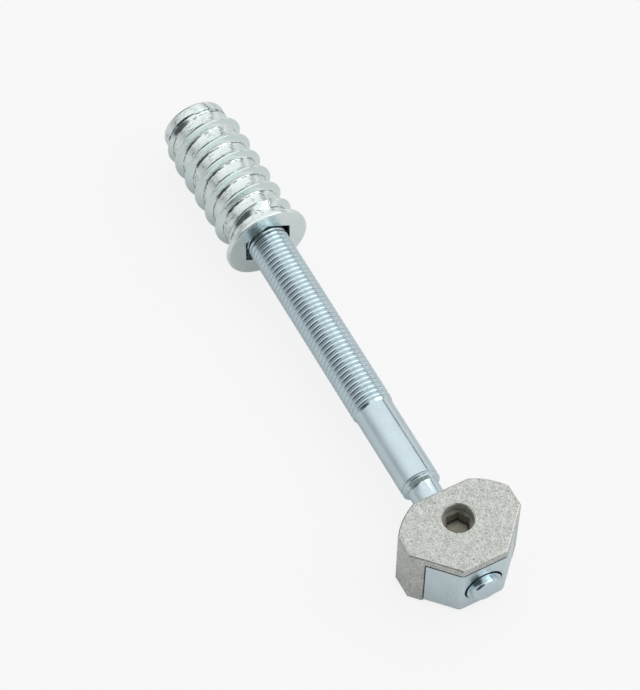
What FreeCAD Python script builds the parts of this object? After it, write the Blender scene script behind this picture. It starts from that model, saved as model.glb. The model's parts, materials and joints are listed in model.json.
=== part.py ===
import FreeCAD, Part
import math
import os
from FreeCAD import Vector

# Worktop joint bolt: a long bolt with a flanged wood insert on its thread and a right-angle
# geared head at its other end. A hex key through the top of the head turns a bevel pinion,
# the pinion turns a bevel wheel on the bolt, and the bolt draws the insert towards the head.
# Millimetres. +X runs along the bolt from the head to the insert, +Z points up, and the
# origin is on the drive axis, in the plane of the head's flat base.

# Head, seen from above
HEAD_WIDTH = 21.9
FRONT_REACH = 9.6          # drive axis to the front face
REAR_REACH = 6.2           # drive axis to the face on the rod side
FRONT_FLAT = 8.7           # width of the front face
REAR_FLAT = 10.6           # width of the face on the rod side
SIDE_FLAT_FRONT = 2.65     # the side flats start this far ahead of the drive axis
SIDE_FLAT_REAR = 1.6       # and end this far behind it
REAR_CORNER_RADIUS = 12.0  # the two swept corners on the rod side

# Head, seen from the side. Its height follows from the gears that it holds.
TOP_PLATE = 1.7            # the lid, which is part of the casting
WHEEL_FLOOR_GAP = 0.52     # between the wheel's teeth and the plate's floor
CASTING_WALL = 1.5
CASTING_FOOT = 0.3         # the casting's walls stop this far above the base
LID_EDGE_RADIUS = 0.35
DRIVE_HOLE_DIAMETER = 5.5
DRIVE_HOLE_CHAMFER = 0.2

# Folded steel plate that closes the head in front and below
SHEET = 0.8
SEAM_FROM_DRIVE = 4.8      # the wings end this far ahead of the drive axis
SEAM_GAP = 0.25
LID_GAP = 0.35             # dark line between the lid and the plate
BEND_RADIUS = 1.3          # outside radius of the plate's folds
FLOOR_GAP = 0.2            # between the plate's floor and the casting's walls
BUTTON_HOLE_GAP = 0.3      # round the wheel's hub, open to view

# Posts of the casting that pass through the plate's floor and are staked over
POST_BOSS_DIAMETER = 3.0
POST_DIAMETER = 1.6
POST_GAP = 0.03
POST_FROM_SIDE = 3.9       # from the head's side flats to the middle of a post
POST_REAR = 1.4            # the rear pair, behind the drive axis
POST_FRONT = 2.2           # the front pair, ahead of the drive axis

# Bevel gears, straight teeth, shafts at a right angle
MODULE = 0.8
PINION_TEETH = 11
WHEEL_TEETH = 12
FACE_WIDTH = 1.9
PRESSURE_ANGLE = 20.0
BACKLASH = 0.14
ADDENDUM = 0.88            # in modules; the teeth are a little stubbed so that their tips clear
ROOT_CLEARANCE = 0.2       # in modules, beyond a full tooth's tip
FLANK_STEPS = 3            # flats that make up each tooth's curved flank
CUTTER_OVERRUN = 0.2       # share by which a tooth cutter passes the teeth's ends
CUTTER_LIFT = 1.5          # degrees by which it passes their tips
HEX_KEY = 4.0              # across flats
HEX_KEY_CLEARANCE = 0.08
HEX_LEAD_IN = 0.25
PINION_DISC_DIAMETER = 8.2
PINION_DISC_THICKNESS = 1.33
WHEEL_DISC_DIAMETER = 9.2
WHEEL_DISC_END = 6.3       # back of the wheel's disc, from the drive axis
WHEEL_HUB_DIAMETER = 7.6
WHEEL_NOSE_DIAMETER = 6.8  # the ring round the button
WHEEL_NOSE_PROUD = 0.3
THRUST_GAP = 0.1
PINION_LIFT_GAP = 0.1      # under the lid
BEARING_GAP = 0.06         # radial, round the pinion's disc and the bolt's groove
PINION_COLLAR_WALL = 1.1
PINION_COLLAR_DEPTH = 0.85
TOOTH_SWEEP_GAP = 0.25     # between the pinion's teeth and the casting

# Bolt
THREAD_DIAMETER = 8.0
SHANK_DIAMETER = 7.4
NECK_DIAMETER = 5.8
GROOVE_DIAMETER = 4.5      # seat of the bolt in the casting's slot
DRIVE_SHAFT_DIAMETER = 5.4
WHEEL_SEAT_DIAMETER = 4.6
WHEEL_SEAT_FLATS = 3.9
WHEEL_SEAT_GAP = 0.03
BUTTON_DIAMETER = 5.6
BUTTON_HEIGHT = 1.3
BUTTON_CHAMFER = 0.4
SHOULDER_FROM_DRIVE = 11.8
SHOULDER_CHAMFER = 0.55
THREAD_START = 30.2        # from the drive axis
THREAD_RUN_OUT = 0.6
BOLT_TIP = 98.0            # from the drive axis
TIP_CHAMFER = 1.0

# Wood insert
INSERT_FACE = 71.7         # flange face, from the drive axis
INSERT_LENGTH = 31.5
FLANGE_DIAMETER = 16.4
FLANGE_THICKNESS = 1.0
FLANGE_CHAMFER = 0.25
CORE_DIAMETER = 12.2
NOSE_DIAMETER = 12.6
NOSE_LENGTH = 2.0
NOSE_CHAMFER = 0.4
WOOD_THREAD_DIAMETER = 14.8
WOOD_THREAD_PITCH = 4.25
WOOD_THREAD_FIRST = 4.85   # first whole crest, from the flange face
WOOD_THREAD_START = 3.4    # where the ridge begins to rise, from the flange face
WOOD_THREAD_STOP = 0.2     # where it has faded away, short of the nose
WOOD_THREAD_CREST = 0.45   # width of the crest
WOOD_THREAD_ROOT = 1.5     # width of the ridge at the core
WOOD_THREAD_TAPER = 1.8    # length over which the ridge rises and fades
RIDGE_SUNK = 0.3           # depth of the ridge's foot inside the core
WOOD_THREAD_TURN = 161.6   # degrees round the axis at the first crest
INSERT_HEX = 9.2           # across flats
INSERT_HEX_DEPTH = 7.0
INSERT_HEX_LEAD_IN = 0.35
BOLT_RUNNING_GAP = 0.05    # radial, between the bolt and the insert's bore

OUTWARD = 0.5              # overshoot of a cutting body past the face that it opens
NEAR = 0.01                # how close to a face an edge must lie to count as on it

HALF_WIDTH = HEAD_WIDTH / 2
PINION_PITCH_RADIUS = MODULE * PINION_TEETH / 2
WHEEL_PITCH_RADIUS = MODULE * WHEEL_TEETH / 2
CONE_DISTANCE = math.hypot(PINION_PITCH_RADIUS, WHEEL_PITCH_RADIUS)
SMALL_END = 1 - FACE_WIDTH / CONE_DISTANCE
TIP_HEIGHT = MODULE * ADDENDUM
WHEEL_TIP_RADIUS = WHEEL_PITCH_RADIUS + TIP_HEIGHT * PINION_PITCH_RADIUS / CONE_DISTANCE
BOLT_AXIS_HEIGHT = SHEET + WHEEL_FLOOR_GAP + WHEEL_TIP_RADIUS
AXIS_POINT = Vector(0, 0, BOLT_AXIS_HEIGHT)
BACK_SLOPE = PINION_PITCH_RADIUS / WHEEL_PITCH_RADIUS
DISC_ABOVE_AXIS = WHEEL_PITCH_RADIUS + (PINION_PITCH_RADIUS - PINION_DISC_DIAMETER / 2) * BACK_SLOPE
PINION_TOP = DISC_ABOVE_AXIS + PINION_DISC_THICKNESS
CEILING = BOLT_AXIS_HEIGHT + PINION_TOP + PINION_LIFT_GAP
HEAD_HEIGHT = CEILING + TOP_PLATE
PLATE_INNER_FRONT = -FRONT_REACH + SHEET
NOSE_END = -FRONT_REACH - WHEEL_NOSE_PROUD


def arc_through(start, end, radius):
    """Arc of a given radius from start to end that bulges away from the drive axis."""
    chord = end - start
    middle = (start + end) * 0.5
    across = Vector(-chord.y, chord.x, 0).normalize()
    if across.dot(middle) < 0:
        across = across * -1
    half = chord.Length / 2
    rise = radius - math.sqrt(radius * radius - half * half)
    return Part.Arc(start, middle + across * rise, end).toShape()


def head_outline():
    """The head seen from above: eight sides, two of them swept arcs."""
    front = FRONT_FLAT / 2
    rear = REAR_FLAT / 2
    points = [
        Vector(-FRONT_REACH, -front, 0),
        Vector(-FRONT_REACH, front, 0),
        Vector(-SIDE_FLAT_FRONT, HALF_WIDTH, 0),
        Vector(SIDE_FLAT_REAR, HALF_WIDTH, 0),
        Vector(REAR_REACH, rear, 0),
        Vector(REAR_REACH, -rear, 0),
        Vector(SIDE_FLAT_REAR, -HALF_WIDTH, 0),
        Vector(-SIDE_FLAT_FRONT, -HALF_WIDTH, 0),
    ]
    swept = (3, 5)
    edges = []
    for i, start in enumerate(points):
        end = points[(i + 1) % len(points)]
        if i in swept:
            edges.append(arc_through(start, end, REAR_CORNER_RADIUS))
        else:
            edges.append(Part.LineSegment(start, end).toShape())
    return Part.Wire(edges)


def head_prism(inset, low, high):
    """The head's outline, drawn in by inset, between two heights."""
    face = Part.Face(head_outline())
    if inset:
        face = face.makeOffset2D(-inset, 2)
    face = face.translated(Vector(0, 0, low))
    return face.extrude(Vector(0, 0, high - low))


def box_between(low, high):
    size = high - low
    return Part.makeBox(size.x, size.y, size.z, low)


def upright_cylinder(x, y, diameter, low, high):
    return Part.makeCylinder(diameter / 2, high - low, Vector(x, y, low))


def turned(profile, centre, along):
    """Solid turned about a line. The profile lists (distance along the line, radius)."""
    points = [Vector(radius, 0, distance) for distance, radius in profile]
    wire = Part.makePolygon(points + [points[0]])
    solid = Part.Face(wire).revolve(Vector(0, 0, 0), Vector(0, 0, 1), 360)
    return placed(solid, centre, along)


def placed(solid, centre, along):
    """Moves a solid made about +Z so that its axis runs along a direction from centre."""
    turn = FreeCAD.Rotation(Vector(0, 0, 1), along)
    moved = solid.copy()
    moved.Placement = FreeCAD.Placement(centre, turn).multiply(solid.Placement)
    return moved


def hexagon_prism(across_flats, low, high, turn=0.0):
    """Hexagonal prism about +Z, with a corner at the angle turn."""
    corner = across_flats / math.sqrt(3)
    points = []
    for i in range(7):
        angle = math.radians(turn + 60 * i)
        points.append(Vector(corner * math.cos(angle), corner * math.sin(angle), low))
    return Part.Face(Part.makePolygon(points)).extrude(Vector(0, 0, high - low))


def mirrored_posts():
    """Places of the four posts."""
    side = HALF_WIDTH - POST_FROM_SIDE
    places = []
    for x in (POST_REAR, -POST_FRONT):
        places += [(x, side), (x, -side)]
    return places


def rounded(solid, radius, wanted):
    """Rounds the edges whose middle point is wanted."""
    edges = [edge for edge in solid.Edges if wanted(edge.valueAt(
        (edge.FirstParameter + edge.LastParameter) / 2), edge)]
    return solid.makeFillet(radius, edges)


def head_housing():
    """Die-cast body: lid and walls in one, open below and in front."""
    lid = head_prism(0, CEILING, HEAD_HEIGHT)
    lid = rounded(lid, LID_EDGE_RADIUS, lambda p, e: p.z > HEAD_HEIGHT - NEAR)
    walls = head_prism(0, CASTING_FOOT, CEILING).cut(head_prism(CASTING_WALL, 0, CEILING))
    seam = -SEAM_FROM_DRIVE + SEAM_GAP
    ahead = box_between(Vector(-FRONT_REACH - OUTWARD, -HEAD_WIDTH, -OUTWARD),
                        Vector(seam, HEAD_WIDTH, CEILING))
    body = lid.fuse(walls.cut(ahead))
    body = body.fuse(pinion_collar())
    for x, y in mirrored_posts():
        body = body.fuse(upright_cylinder(x, y, POST_BOSS_DIAMETER, SHEET, CEILING))
    body = body.fuse([upright_cylinder(x, y, POST_DIAMETER, 0, SHEET) for x, y in mirrored_posts()])
    body = body.cut([neck_slot(), pinion_sweep(), drive_hole()])
    return body.removeSplitter()


def pinion_collar():
    """Ring under the lid that the pinion's disc turns in."""
    bore = PINION_DISC_DIAMETER + 2 * BEARING_GAP
    outside = bore + 2 * PINION_COLLAR_WALL
    ring = upright_cylinder(0, 0, outside, CEILING - PINION_COLLAR_DEPTH, CEILING)
    return ring.cut(upright_cylinder(0, 0, bore, CEILING - PINION_COLLAR_DEPTH, CEILING))


def pinion_sweep():
    """Room for the pinion's teeth in the wall on the rod side, below the collar."""
    tip = tooth_cone(PINION_TEETH, WHEEL_TEETH)["tip"]
    radius = tip[1] + TOOTH_SWEEP_GAP
    low = BOLT_AXIS_HEIGHT + SMALL_END * tip[0] - TOOTH_SWEEP_GAP
    high = CEILING - PINION_COLLAR_DEPTH
    return upright_cylinder(0, 0, 2 * radius, low, high)


def neck_slot():
    """Slot in the wall on the rod side, open below, that the bolt's groove drops into."""
    half = GROOVE_DIAMETER / 2 + BEARING_GAP
    low = Vector(REAR_REACH - CASTING_WALL - OUTWARD, -half, -OUTWARD)
    high = Vector(REAR_REACH + OUTWARD, half, BOLT_AXIS_HEIGHT)
    top = Part.makeCylinder(half, high.x - low.x, Vector(low.x, 0, BOLT_AXIS_HEIGHT), Vector(1, 0, 0))
    return box_between(low, high).fuse(top)


def drive_hole():
    """Round hole in the lid for the hex key, with a broken edge."""
    radius = DRIVE_HOLE_DIAMETER / 2
    mouth = radius + DRIVE_HOLE_CHAMFER + OUTWARD
    profile = [
        (CEILING - OUTWARD, 0),
        (CEILING - OUTWARD, radius),
        (HEAD_HEIGHT - DRIVE_HOLE_CHAMFER, radius),
        (HEAD_HEIGHT + OUTWARD, mouth),
        (HEAD_HEIGHT + OUTWARD, 0),
    ]
    return turned(profile, Vector(0, 0, 0), Vector(0, 0, 1))


def plate_tub(inset, low, radius):
    """Front part of the head's outline as a solid with rounded folds, open to the rear."""
    reach = 2 * OUTWARD if inset else 0
    prism = head_prism(inset, low, CEILING - LID_GAP + reach)
    behind = box_between(Vector(-SEAM_FROM_DRIVE + reach, -HEAD_WIDTH, low - OUTWARD),
                         Vector(REAR_REACH + OUTWARD, HEAD_WIDTH, HEAD_HEIGHT))
    tub = prism.cut(behind)

    def folds(point, edge):
        in_front = point.x < -SEAM_FROM_DRIVE - NEAR
        lower = abs(point.z - low) < NEAR
        direction = edge.tangentAt(edge.FirstParameter)
        upright = abs(direction.z) > 1 - NEAR and point.x < -FRONT_REACH + inset + NEAR
        return in_front and (lower or upright)

    return rounded(tub, radius, folds)


def closing_plate():
    """Folded steel plate: floor, front face, two wings and a tongue under the bolt's groove."""
    outer = plate_tub(0, 0, BEND_RADIUS)
    inner = plate_tub(SHEET, SHEET, BEND_RADIUS - SHEET)
    floor = head_prism(CASTING_WALL + FLOOR_GAP, 0, SHEET)
    ahead = box_between(Vector(-FRONT_REACH - OUTWARD, -HEAD_WIDTH, -OUTWARD),
                        Vector(-SEAM_FROM_DRIVE - BEND_RADIUS, HEAD_WIDTH, HEAD_HEIGHT))
    plate = outer.cut(inner).fuse(floor.cut(ahead))
    plate = plate.fuse(rear_tongue())
    hub_hole = WHEEL_NOSE_DIAMETER / 2 + BUTTON_HOLE_GAP
    hole = Part.makeCylinder(hub_hole, SHEET + 2 * OUTWARD,
                             Vector(-FRONT_REACH - OUTWARD, 0, BOLT_AXIS_HEIGHT), Vector(1, 0, 0))
    post_hole = POST_DIAMETER + 2 * POST_GAP
    holes = [upright_cylinder(x, y, post_hole, -OUTWARD, SHEET + OUTWARD) for x, y in mirrored_posts()]
    return plate.cut([hole] + holes).removeSplitter()


def rear_tongue():
    """Tab folded up in the casting's slot, with a hollow top under the bolt's groove."""
    half = GROOVE_DIAMETER / 2 - FLOOR_GAP
    outside = REAR_REACH - (CASTING_WALL - SHEET) / 2
    inside = outside - SHEET
    under = GROOVE_DIAMETER / 2 + BEARING_GAP
    upright = box_between(Vector(inside, -half, 0), Vector(outside, half, BOLT_AXIS_HEIGHT))
    foot = box_between(Vector(REAR_REACH - CASTING_WALL - 2 * SHEET, -half, 0),
                       Vector(outside, half, SHEET))
    hollow = Part.makeCylinder(under, CASTING_WALL + 2 * OUTWARD,
                               Vector(inside - OUTWARD, 0, BOLT_AXIS_HEIGHT), Vector(1, 0, 0))
    tongue = upright.fuse(foot).removeSplitter()
    tongue = rounded(tongue, BEND_RADIUS, lambda p, e: p.z < NEAR and p.x > outside - NEAR)
    return tongue.cut(hollow)


def tooth_cone(teeth, mate_teeth):
    """Sizes of a bevel gear's teeth, as (distance from the cone's apex, radius) pairs."""
    pitch = math.atan2(teeth, mate_teeth)
    root_depth = MODULE * (1 + ROOT_CLEARANCE)
    distance = CONE_DISTANCE * math.cos(pitch)
    radius = CONE_DISTANCE * math.sin(pitch)
    return {
        "pitch_angle": pitch,
        "tip_angle": pitch + math.atan2(TIP_HEIGHT, CONE_DISTANCE),
        "root_angle": pitch - math.atan2(root_depth, CONE_DISTANCE),
        "tip": (distance - TIP_HEIGHT * math.sin(pitch), radius + TIP_HEIGHT * math.cos(pitch)),
        "root": (distance + root_depth * math.sin(pitch), radius - root_depth * math.cos(pitch)),
    }


def involute_turn(angle, base):
    """Turn of a spherical involute at a polar angle, from where it leaves its base cone."""
    roll = math.acos(min(1.0, math.cos(angle) / math.cos(base)))
    return roll / math.sin(base) - math.acos(min(1.0, math.tan(base) / math.tan(angle)))


def gap_section(teeth, cone, distance):
    """Corners of one tooth gap's section at a distance from the apex, flanks in short flats."""
    pitch = cone["pitch_angle"]
    base = math.asin(math.sin(pitch) * math.cos(math.radians(PRESSURE_ANGLE)))
    half_tooth = math.pi / (2 * teeth) - BACKLASH / (2 * CONE_DISTANCE * math.sin(pitch))
    at_pitch = involute_turn(pitch, base)
    outside = cone["tip_angle"] + math.radians(CUTTER_LIFT)
    lowest = max(base, cone["root_angle"])

    def point(angle, side):
        turn = math.pi / teeth - half_tooth - at_pitch + involute_turn(max(angle, base), base)
        radius = distance * math.tan(angle)
        return Vector(radius * math.cos(turn), side * radius * math.sin(turn), distance)

    angles = [lowest + (outside - lowest) * i / FLANK_STEPS for i in range(FLANK_STEPS + 1)]
    if cone["root_angle"] < base:
        angles.insert(0, cone["root_angle"])
    right = [point(angle, 1) for angle in angles]
    left = [point(angle, -1) for angle in reversed(angles)]
    return right + left


def flat_sided(near, far):
    """Solid between two sections, the far one an enlarged copy of the near one."""
    loops = [near, far]
    for i, start in enumerate(near):
        after = (i + 1) % len(near)
        loops.append([start, near[after], far[after], far[i]])
    faces = [Part.Face(Part.makePolygon(loop + loop[:1])) for loop in loops]
    return Part.makeSolid(Part.makeShell(faces))


def tooth_gap(teeth, cone):
    """One tooth gap, ending at the cone across the back of the teeth."""
    near = gap_section(teeth, cone, SMALL_END * cone["tip"][0] * (1 - CUTTER_OVERRUN))
    far = gap_section(teeth, cone, cone["root"][0] * (1 + CUTTER_OVERRUN))
    ray = flat_sided(near, far)
    tip = cone["tip"]
    root = cone["root"]
    slope = (root[0] - tip[0]) / (tip[1] - root[1])
    beyond = 2 * MODULE
    wide = tip[1] + beyond
    before_back = [
        (0, 0),
        (0, wide),
        (tip[0] - beyond * slope, wide),
        (root[0] + root[1] * slope, 0),
    ]
    return ray.common(turned(before_back, Vector(0, 0, 0), Vector(0, 0, 1)))


def bevel_gear(teeth, mate_teeth, back, first_gap):
    """Toothed blank about +Z with its cone's apex at the origin. The list back holds the
    (distance, radius) pairs behind the teeth, and a gap lies at the angle first_gap."""
    cone = tooth_cone(teeth, mate_teeth)
    tip = cone["tip"]
    root = cone["root"]
    disc = back[0][1]
    meets = tip[0] + (tip[1] - disc) * (root[0] - tip[0]) / (tip[1] - root[1])
    profile = [
        (SMALL_END * root[0], 0),
        (SMALL_END * root[0], SMALL_END * root[1]),
        (SMALL_END * tip[0], SMALL_END * tip[1]),
        tip,
        (meets, disc),
    ] + back + [(back[-1][0], 0)]
    blank = turned(profile, Vector(0, 0, 0), Vector(0, 0, 1))
    gap = tooth_gap(teeth, cone)
    gaps = []
    for i in range(teeth):
        copy = gap.copy()
        copy.rotate(Vector(0, 0, 0), Vector(0, 0, 1), first_gap + 360 * i / teeth)
        gaps.append(copy)
    return blank.cut(gaps)


def drive_pinion():
    """Upright bevel pinion with the hex socket, under the drive hole."""
    top = PINION_TOP
    disc = PINION_DISC_DIAMETER / 2
    half_pitch = 180 / PINION_TEETH
    gear = bevel_gear(PINION_TEETH, WHEEL_TEETH, [(top, disc)], 180 + half_pitch)
    across = HEX_KEY + HEX_KEY_CLEARANCE
    corner = across / math.sqrt(3)
    socket = hexagon_prism(across, 0, top + OUTWARD, 30)
    mouth = [
        (top - HEX_LEAD_IN, 0),
        (top - HEX_LEAD_IN, corner - HEX_LEAD_IN),
        (top + OUTWARD, corner + OUTWARD),
        (top + OUTWARD, 0),
    ]
    lead_in = turned(mouth, Vector(0, 0, 0), Vector(0, 0, 1))
    gear = gear.cut([socket, lead_in])
    return gear.translated(AXIS_POINT)


def seat_prism(diameter, across, length):
    """Round bar about +Z with two flats, for the wheel's seat."""
    bar = Part.makeCylinder(diameter / 2, length)
    slab = Part.makeBox(across, 2 * diameter, length, Vector(-across / 2, -diameter, 0))
    return bar.common(slab)


def bevel_wheel():
    """Bevel wheel on the bolt, with a hub that ends as the ring round the button."""
    shoulder = -PLATE_INNER_FRONT - THRUST_GAP
    back = [
        (WHEEL_DISC_END, WHEEL_DISC_DIAMETER / 2),
        (WHEEL_DISC_END, WHEEL_HUB_DIAMETER / 2),
        (shoulder, WHEEL_HUB_DIAMETER / 2),
        (shoulder, WHEEL_NOSE_DIAMETER / 2),
        (-NOSE_END, WHEEL_NOSE_DIAMETER / 2),
    ]
    gear = bevel_gear(WHEEL_TEETH, PINION_TEETH, back, 0)
    gap = 2 * WHEEL_SEAT_GAP
    bore = seat_prism(WHEEL_SEAT_DIAMETER + gap, WHEEL_SEAT_FLATS + gap, -NOSE_END + OUTWARD)
    gear = gear.cut(bore)
    return placed(gear, AXIS_POINT, Vector(-1, 0, 0))


def wheel_front():
    """Distance of the wheel's toothed face from the drive axis."""
    return SMALL_END * tooth_cone(WHEEL_TEETH, PINION_TEETH)["root"][0]


def joint_bolt():
    """One turned piece, from the button in the front face to the tip inside the insert."""
    button_end = NOSE_END - BUTTON_HEIGHT
    button = BUTTON_DIAMETER / 2
    groove_start = REAR_REACH - CASTING_WALL - THRUST_GAP
    groove_end = REAR_REACH + THRUST_GAP
    shaft = [
        (-wheel_front(), 0),
        (-wheel_front(), DRIVE_SHAFT_DIAMETER / 2),
        (groove_start, DRIVE_SHAFT_DIAMETER / 2),
        (groove_start, GROOVE_DIAMETER / 2),
        (groove_end, GROOVE_DIAMETER / 2),
        (groove_end, NECK_DIAMETER / 2),
        (SHOULDER_FROM_DRIVE, NECK_DIAMETER / 2),
        (SHOULDER_FROM_DRIVE, SHANK_DIAMETER / 2 - SHOULDER_CHAMFER),
        (SHOULDER_FROM_DRIVE + SHOULDER_CHAMFER, SHANK_DIAMETER / 2),
        (THREAD_START - THREAD_RUN_OUT, SHANK_DIAMETER / 2),
        (THREAD_START, THREAD_DIAMETER / 2),
        (BOLT_TIP - TIP_CHAMFER, THREAD_DIAMETER / 2),
        (BOLT_TIP, THREAD_DIAMETER / 2 - TIP_CHAMFER),
        (BOLT_TIP, 0),
    ]
    bolt = turned(shaft, AXIS_POINT, Vector(1, 0, 0))
    seat = seat_prism(WHEEL_SEAT_DIAMETER, WHEEL_SEAT_FLATS, -NOSE_END - wheel_front())
    seat = seat.translated(Vector(0, 0, wheel_front()))
    head = turned([
        (-NOSE_END, 0),
        (-NOSE_END, button),
        (-button_end - BUTTON_CHAMFER, button),
        (-button_end, button - BUTTON_CHAMFER),
        (-button_end, 0),
    ], Vector(0, 0, 0), Vector(0, 0, 1))
    end = placed(seat.fuse(head), AXIS_POINT, Vector(-1, 0, 0))
    return bolt.fuse(end).removeSplitter()


def wood_thread():
    """Coarse right-hand ridge about +Z, which rises and fades at its ends."""
    core = CORE_DIAMETER / 2
    crest = WOOD_THREAD_DIAMETER / 2
    first = WOOD_THREAD_FIRST - WOOD_THREAD_PITCH
    last = INSERT_LENGTH - NOSE_LENGTH
    helix = Part.makeHelix(WOOD_THREAD_PITCH, last - first, core)
    widen = (WOOD_THREAD_ROOT - WOOD_THREAD_CREST) / (crest - core)
    foot = core - RIDGE_SUNK
    base = (WOOD_THREAD_ROOT + widen * RIDGE_SUNK) / 2
    top = WOOD_THREAD_CREST / 2
    points = [
        Vector(foot, 0, -base),
        Vector(crest, 0, -top),
        Vector(crest, 0, top),
        Vector(foot, 0, base),
    ]
    section = Part.makePolygon(points + [points[0]])
    ridge = Part.Wire(helix).makePipeShell([section], True, True)
    turn = WOOD_THREAD_TURN + 360 * (first - WOOD_THREAD_FIRST) / WOOD_THREAD_PITCH
    ridge.rotate(Vector(0, 0, 0), Vector(0, 0, 1), turn)
    ridge = ridge.translated(Vector(0, 0, first))
    start = WOOD_THREAD_START
    stop = last - WOOD_THREAD_STOP
    inside = core - RIDGE_SUNK / 2
    envelope = [
        (start, 0),
        (start, inside),
        (start + WOOD_THREAD_TAPER, crest + RIDGE_SUNK),
        (stop - WOOD_THREAD_TAPER, crest + RIDGE_SUNK),
        (stop, inside),
        (stop, 0),
    ]
    return ridge.common(turned(envelope, Vector(0, 0, 0), Vector(0, 0, 1)))


def insert_flange():
    """Thin round flange at the insert's mouth, with a broken edge on its outer face."""
    flange = FLANGE_DIAMETER / 2
    profile = [
        (0, 0),
        (0, flange - FLANGE_CHAMFER),
        (FLANGE_CHAMFER, flange),
        (FLANGE_THICKNESS, flange),
        (FLANGE_THICKNESS, 0),
    ]
    return turned(profile, Vector(0, 0, 0), Vector(0, 0, 1))


def insert_nose():
    """Plain band at the insert's far end, a little wider than its core."""
    nose = NOSE_DIAMETER / 2
    profile = [
        (INSERT_LENGTH - NOSE_LENGTH, 0),
        (INSERT_LENGTH - NOSE_LENGTH, nose),
        (INSERT_LENGTH - NOSE_CHAMFER, nose),
        (INSERT_LENGTH, nose - NOSE_CHAMFER),
        (INSERT_LENGTH, 0),
    ]
    return turned(profile, Vector(0, 0, 0), Vector(0, 0, 1))


def wood_insert():
    """Flanged insert with a coarse wood thread outside, a hex socket and a bore for the bolt."""
    core = Part.makeCylinder(CORE_DIAMETER / 2, INSERT_LENGTH - NOSE_LENGTH)
    insert = core.fuse([insert_flange(), insert_nose()])
    bore = Part.makeCylinder(THREAD_DIAMETER / 2 + BOLT_RUNNING_GAP, INSERT_LENGTH + 2 * OUTWARD,
                             Vector(0, 0, -OUTWARD))
    socket = hexagon_prism(INSERT_HEX, -OUTWARD, INSERT_HEX_DEPTH, 90)
    corner = INSERT_HEX / math.sqrt(3)
    mouth = [
        (-OUTWARD, 0),
        (-OUTWARD, corner + OUTWARD),
        (INSERT_HEX_LEAD_IN, corner - INSERT_HEX_LEAD_IN),
        (INSERT_HEX_LEAD_IN, 0),
    ]
    lead_in = turned(mouth, Vector(0, 0, 0), Vector(0, 0, 1))
    insert = insert.cut([bore, socket, lead_in])
    return stood_along_bolt(insert.fuse(wood_thread()))


def stood_along_bolt(solid):
    """Lays a piece made about +Z along the bolt, its +X to the side and its +Y up."""
    turn = FreeCAD.Matrix(0, 0, 1, INSERT_FACE,
                          1, 0, 0, 0,
                          0, 1, 0, BOLT_AXIS_HEIGHT,
                          0, 0, 0, 1)
    moved = solid.copy()
    moved.Placement = FreeCAD.Placement(turn)
    return moved


def main():
    os.makedirs("parts", exist_ok=True)
    pieces = {
        "head_housing": head_housing(),
        "closing_plate": closing_plate(),
        "drive_pinion": drive_pinion(),
        "bevel_wheel": bevel_wheel(),
        "joint_bolt": joint_bolt(),
        "wood_insert": wood_insert(),
    }
    for name, shape in pieces.items():
        shape.exportStep("parts/" + name + ".step")
        print(name, "valid", shape.isValid(), "solids", len(shape.Solids), "volume", round(shape.Volume, 2))


main()
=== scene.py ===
import json
import math

import bpy
from bpy.props import FloatProperty, FloatVectorProperty, IntProperty, PointerProperty
from bpy.types import Operator, Panel, PropertyGroup
from mathutils import Matrix, Quaternion, Vector


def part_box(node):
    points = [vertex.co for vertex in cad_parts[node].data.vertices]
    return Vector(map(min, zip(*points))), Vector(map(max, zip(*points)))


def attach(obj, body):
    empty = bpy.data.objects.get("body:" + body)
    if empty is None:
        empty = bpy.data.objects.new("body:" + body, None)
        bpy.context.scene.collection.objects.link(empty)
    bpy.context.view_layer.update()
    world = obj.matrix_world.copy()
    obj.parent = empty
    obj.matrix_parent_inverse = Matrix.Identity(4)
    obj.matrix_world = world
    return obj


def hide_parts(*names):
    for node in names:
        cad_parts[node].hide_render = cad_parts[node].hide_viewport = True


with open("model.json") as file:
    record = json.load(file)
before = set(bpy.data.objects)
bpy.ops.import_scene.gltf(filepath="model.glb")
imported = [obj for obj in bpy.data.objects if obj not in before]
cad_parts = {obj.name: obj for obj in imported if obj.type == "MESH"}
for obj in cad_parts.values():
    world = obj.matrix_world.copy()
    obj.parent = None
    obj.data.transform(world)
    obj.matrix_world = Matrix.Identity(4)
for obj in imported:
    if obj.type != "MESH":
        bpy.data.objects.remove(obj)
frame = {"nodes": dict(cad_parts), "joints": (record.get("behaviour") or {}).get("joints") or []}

bl_info = {
    "name": "Worktop Joint Bolt",
    "version": (1, 0, 0),
    "blender": (4, 5, 0),
    "location": "View3D > Sidebar > Joint Bolt",
    "description": "Dresses a geared worktop joint bolt: threads, cast and plated finishes, studio",
    "category": "Object",
}

MM = 0.001
FULL_TURN = 2 * math.pi
SMOOTH_ANGLE = math.radians(30)
MERGE_DISTANCE = 0.001 * MM

# Painted shade: thin dark lines round the insert and along its ridge's foot, and dark shade in the
# head's seams
PAINTED_LINE_SHADE = (0.25, 0.28, 0.29)
SEAM_SHADE_COLOUR = (0.04, 0.04, 0.04)
SEAM_SHADE_REACH = 0.8 * MM

# Lengths of the insert's plain ends, in millimetres
FLANGE_THICKNESS = 0.95
NOSE_LENGTH = 2.0

# Brightness of the studio round the object, as (sine of the height above the horizon, grey)
KEY_SIDE_LIGHT = ((0.0, 0.92), (0.35, 0.80), (0.36, 0.01), (0.43, 0.01), (0.44, 1.0), (1.0, 1.10))
FAR_SIDE_LIGHT = ((0.0, 0.62), (0.30, 0.55), (0.60, 0.82), (0.80, 1.0), (1.0, 1.10))

# Level direction of the far side, and the cosines to it between which its light takes over
FAR_SIDE = (0.5, 0.87, 0)
FAR_SIDE_EDGE = (-0.15, 0.35)

# Dark parts of the room: where each lies, and the cosines to it between which it fades in
DARK_CORNER = ((-0.54, 0.62, 0.56), (0.74, 0.88))
DARK_DOOR = ((0.90, 0.14, 0.18), (0.88, 0.94))
DARK_ROOM_COLOUR = (0.08, 0.08, 0.09)

# Brightness above the horizon that meets the lit floor's without a line
HORIZON_MATCH = 0.943

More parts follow.
